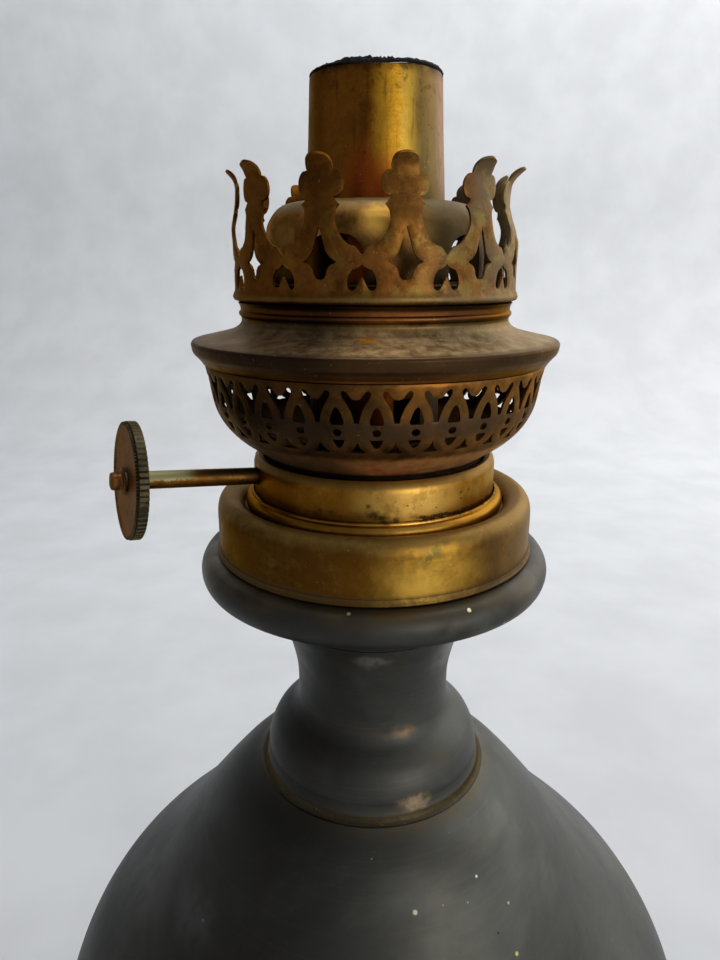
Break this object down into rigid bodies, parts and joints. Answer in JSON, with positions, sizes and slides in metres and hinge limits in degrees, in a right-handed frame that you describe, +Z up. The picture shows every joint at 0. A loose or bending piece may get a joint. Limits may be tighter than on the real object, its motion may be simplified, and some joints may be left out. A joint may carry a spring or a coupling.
{
  "type": "kerosene lamp",
  "caption": "Pewter table kerosene lamp: bulbous fount on a foot ring, brass collar, round-wick burner with wick knob and a lift-off crown gallery for a glass chimney.",
  "frame": {"origin": "centre of the foot ring on the table, on the lamp's axis", "axes": "+Z up along the lamp's axis, -Y towards the pictured front, +X to the viewer's right"},
  "size_m": [0.1528, 0.1528, 0.2844],
  "materials": {
    "foot_ring": "satin, charcoal with age, fine turning marks",
    "body_lower_shell": "satin, charcoal with age, fine turning marks",
    "body_upper_shell": "satin, charcoal with age, fine turning marks",
    "neck": "satin, charcoal with age, fine turning marks",
    "neck_solder_ring": "worn satin brass with dark stains",
    "rim_cup": "satin, charcoal with age, fine turning marks",
    "collar_shell": "satin brass, tarnished, with green and grey patches",
    "collar_base_ring": "satin brass, tarnished, with green and grey patches",
    "collar_thread_ring": "satin brass, tarnished, with green and grey patches",
    "burner_thread_ring": "worn satin brass with dark stains",
    "burner_floor_plate": "dull oiled brass",
    "burner_drum": "satin brass, tarnished, with green and grey patches",
    "drum_base_ring": "worn satin brass with dark stains",
    "air_basket": "dark brown tarnished brass with bright worn edges",
    "burner_plate": "dull oiled brass",
    "outer_wick_tube": "worn satin brass with dark stains",
    "inner_draught_tube": "dull oiled brass",
    "side_air_duct": "dull oiled brass",
    "spindle_bush": "dull oiled brass",
    "raiser_bracket": "dull oiled brass",
    "gallery_flange": "dark brown tarnished brass with bright worn edges",
    "crown": "dark brown tarnished brass with bright worn edges",
    "chimney_seat_ring": "dark brown tarnished brass with bright worn edges",
    "air_deflector": "worn satin brass with dark stains",
    "spindle": "worn satin brass with dark stains",
    "knob_disc": "dark brown tarnished brass with bright worn edges",
    "knob_hub": "dark brown tarnished brass with bright worn edges",
    "sprocket_outer": "dull oiled brass",
    "sprocket_inner": "dull oiled brass",
    "wick": "woven cotton, oil-stained, charred at the top"
  },
  "bodies": {
    "fount": {"foot_ring": "foot_ring", "body_lower_shell": "body_lower_shell", "body_upper_shell": "body_upper_shell", "neck": "neck", "neck_solder_ring": "neck_solder_ring", "rim_cup": "rim_cup", "collar_shell": "collar_shell", "collar_base_ring": "collar_base_ring", "collar_thread_ring": "collar_thread_ring"},
    "burner": {"burner_thread_ring": "burner_thread_ring", "burner_floor_plate": "burner_floor_plate", "burner_drum": "burner_drum", "drum_base_ring": "drum_base_ring", "air_basket": "air_basket", "burner_plate": "burner_plate", "outer_wick_tube": "outer_wick_tube", "inner_draught_tube": "inner_draught_tube", "side_air_duct": "side_air_duct", "spindle_bush": "spindle_bush", "raiser_bracket": "raiser_bracket"},
    "gallery": {"gallery_flange": "gallery_flange", "crown": "crown", "chimney_seat_ring": "chimney_seat_ring", "air_deflector": "air_deflector"},
    "wick_raiser": {"spindle": "spindle", "knob_disc": "knob_disc", "knob_hub": "knob_hub", "sprocket_outer": "sprocket_outer", "sprocket_inner": "sprocket_inner"},
    "wick": {"wick": "wick"}
  },
  "joints": [
    {"name": "burner_lift", "type": "slide", "parent": "fount", "child": "burner", "axis": [0, 0, 1], "range_m": [0, 0.17]},
    {"name": "gallery_lift", "type": "slide", "parent": "burner", "child": "gallery", "axis": [0, 0, 1], "range_m": [0, 0.055]},
    {"name": "spindle_turn", "type": "hinge", "parent": "burner", "child": "wick_raiser", "pos_m": [-0.00212, 0.00386, 0.2082], "axis": [0.8717, 0.4792, -0.1028], "range_deg": [-145, 85]},
    {"name": "wick_slide", "type": "slide", "parent": "burner", "child": "wick", "axis": [0, 0, 1], "range_m": [-0.01, 0.006]}
  ],
  "couplings": [
    {"joint": "wick_slide", "follows": "spindle_turn", "m_per_rad": 0.0039}
  ]
}
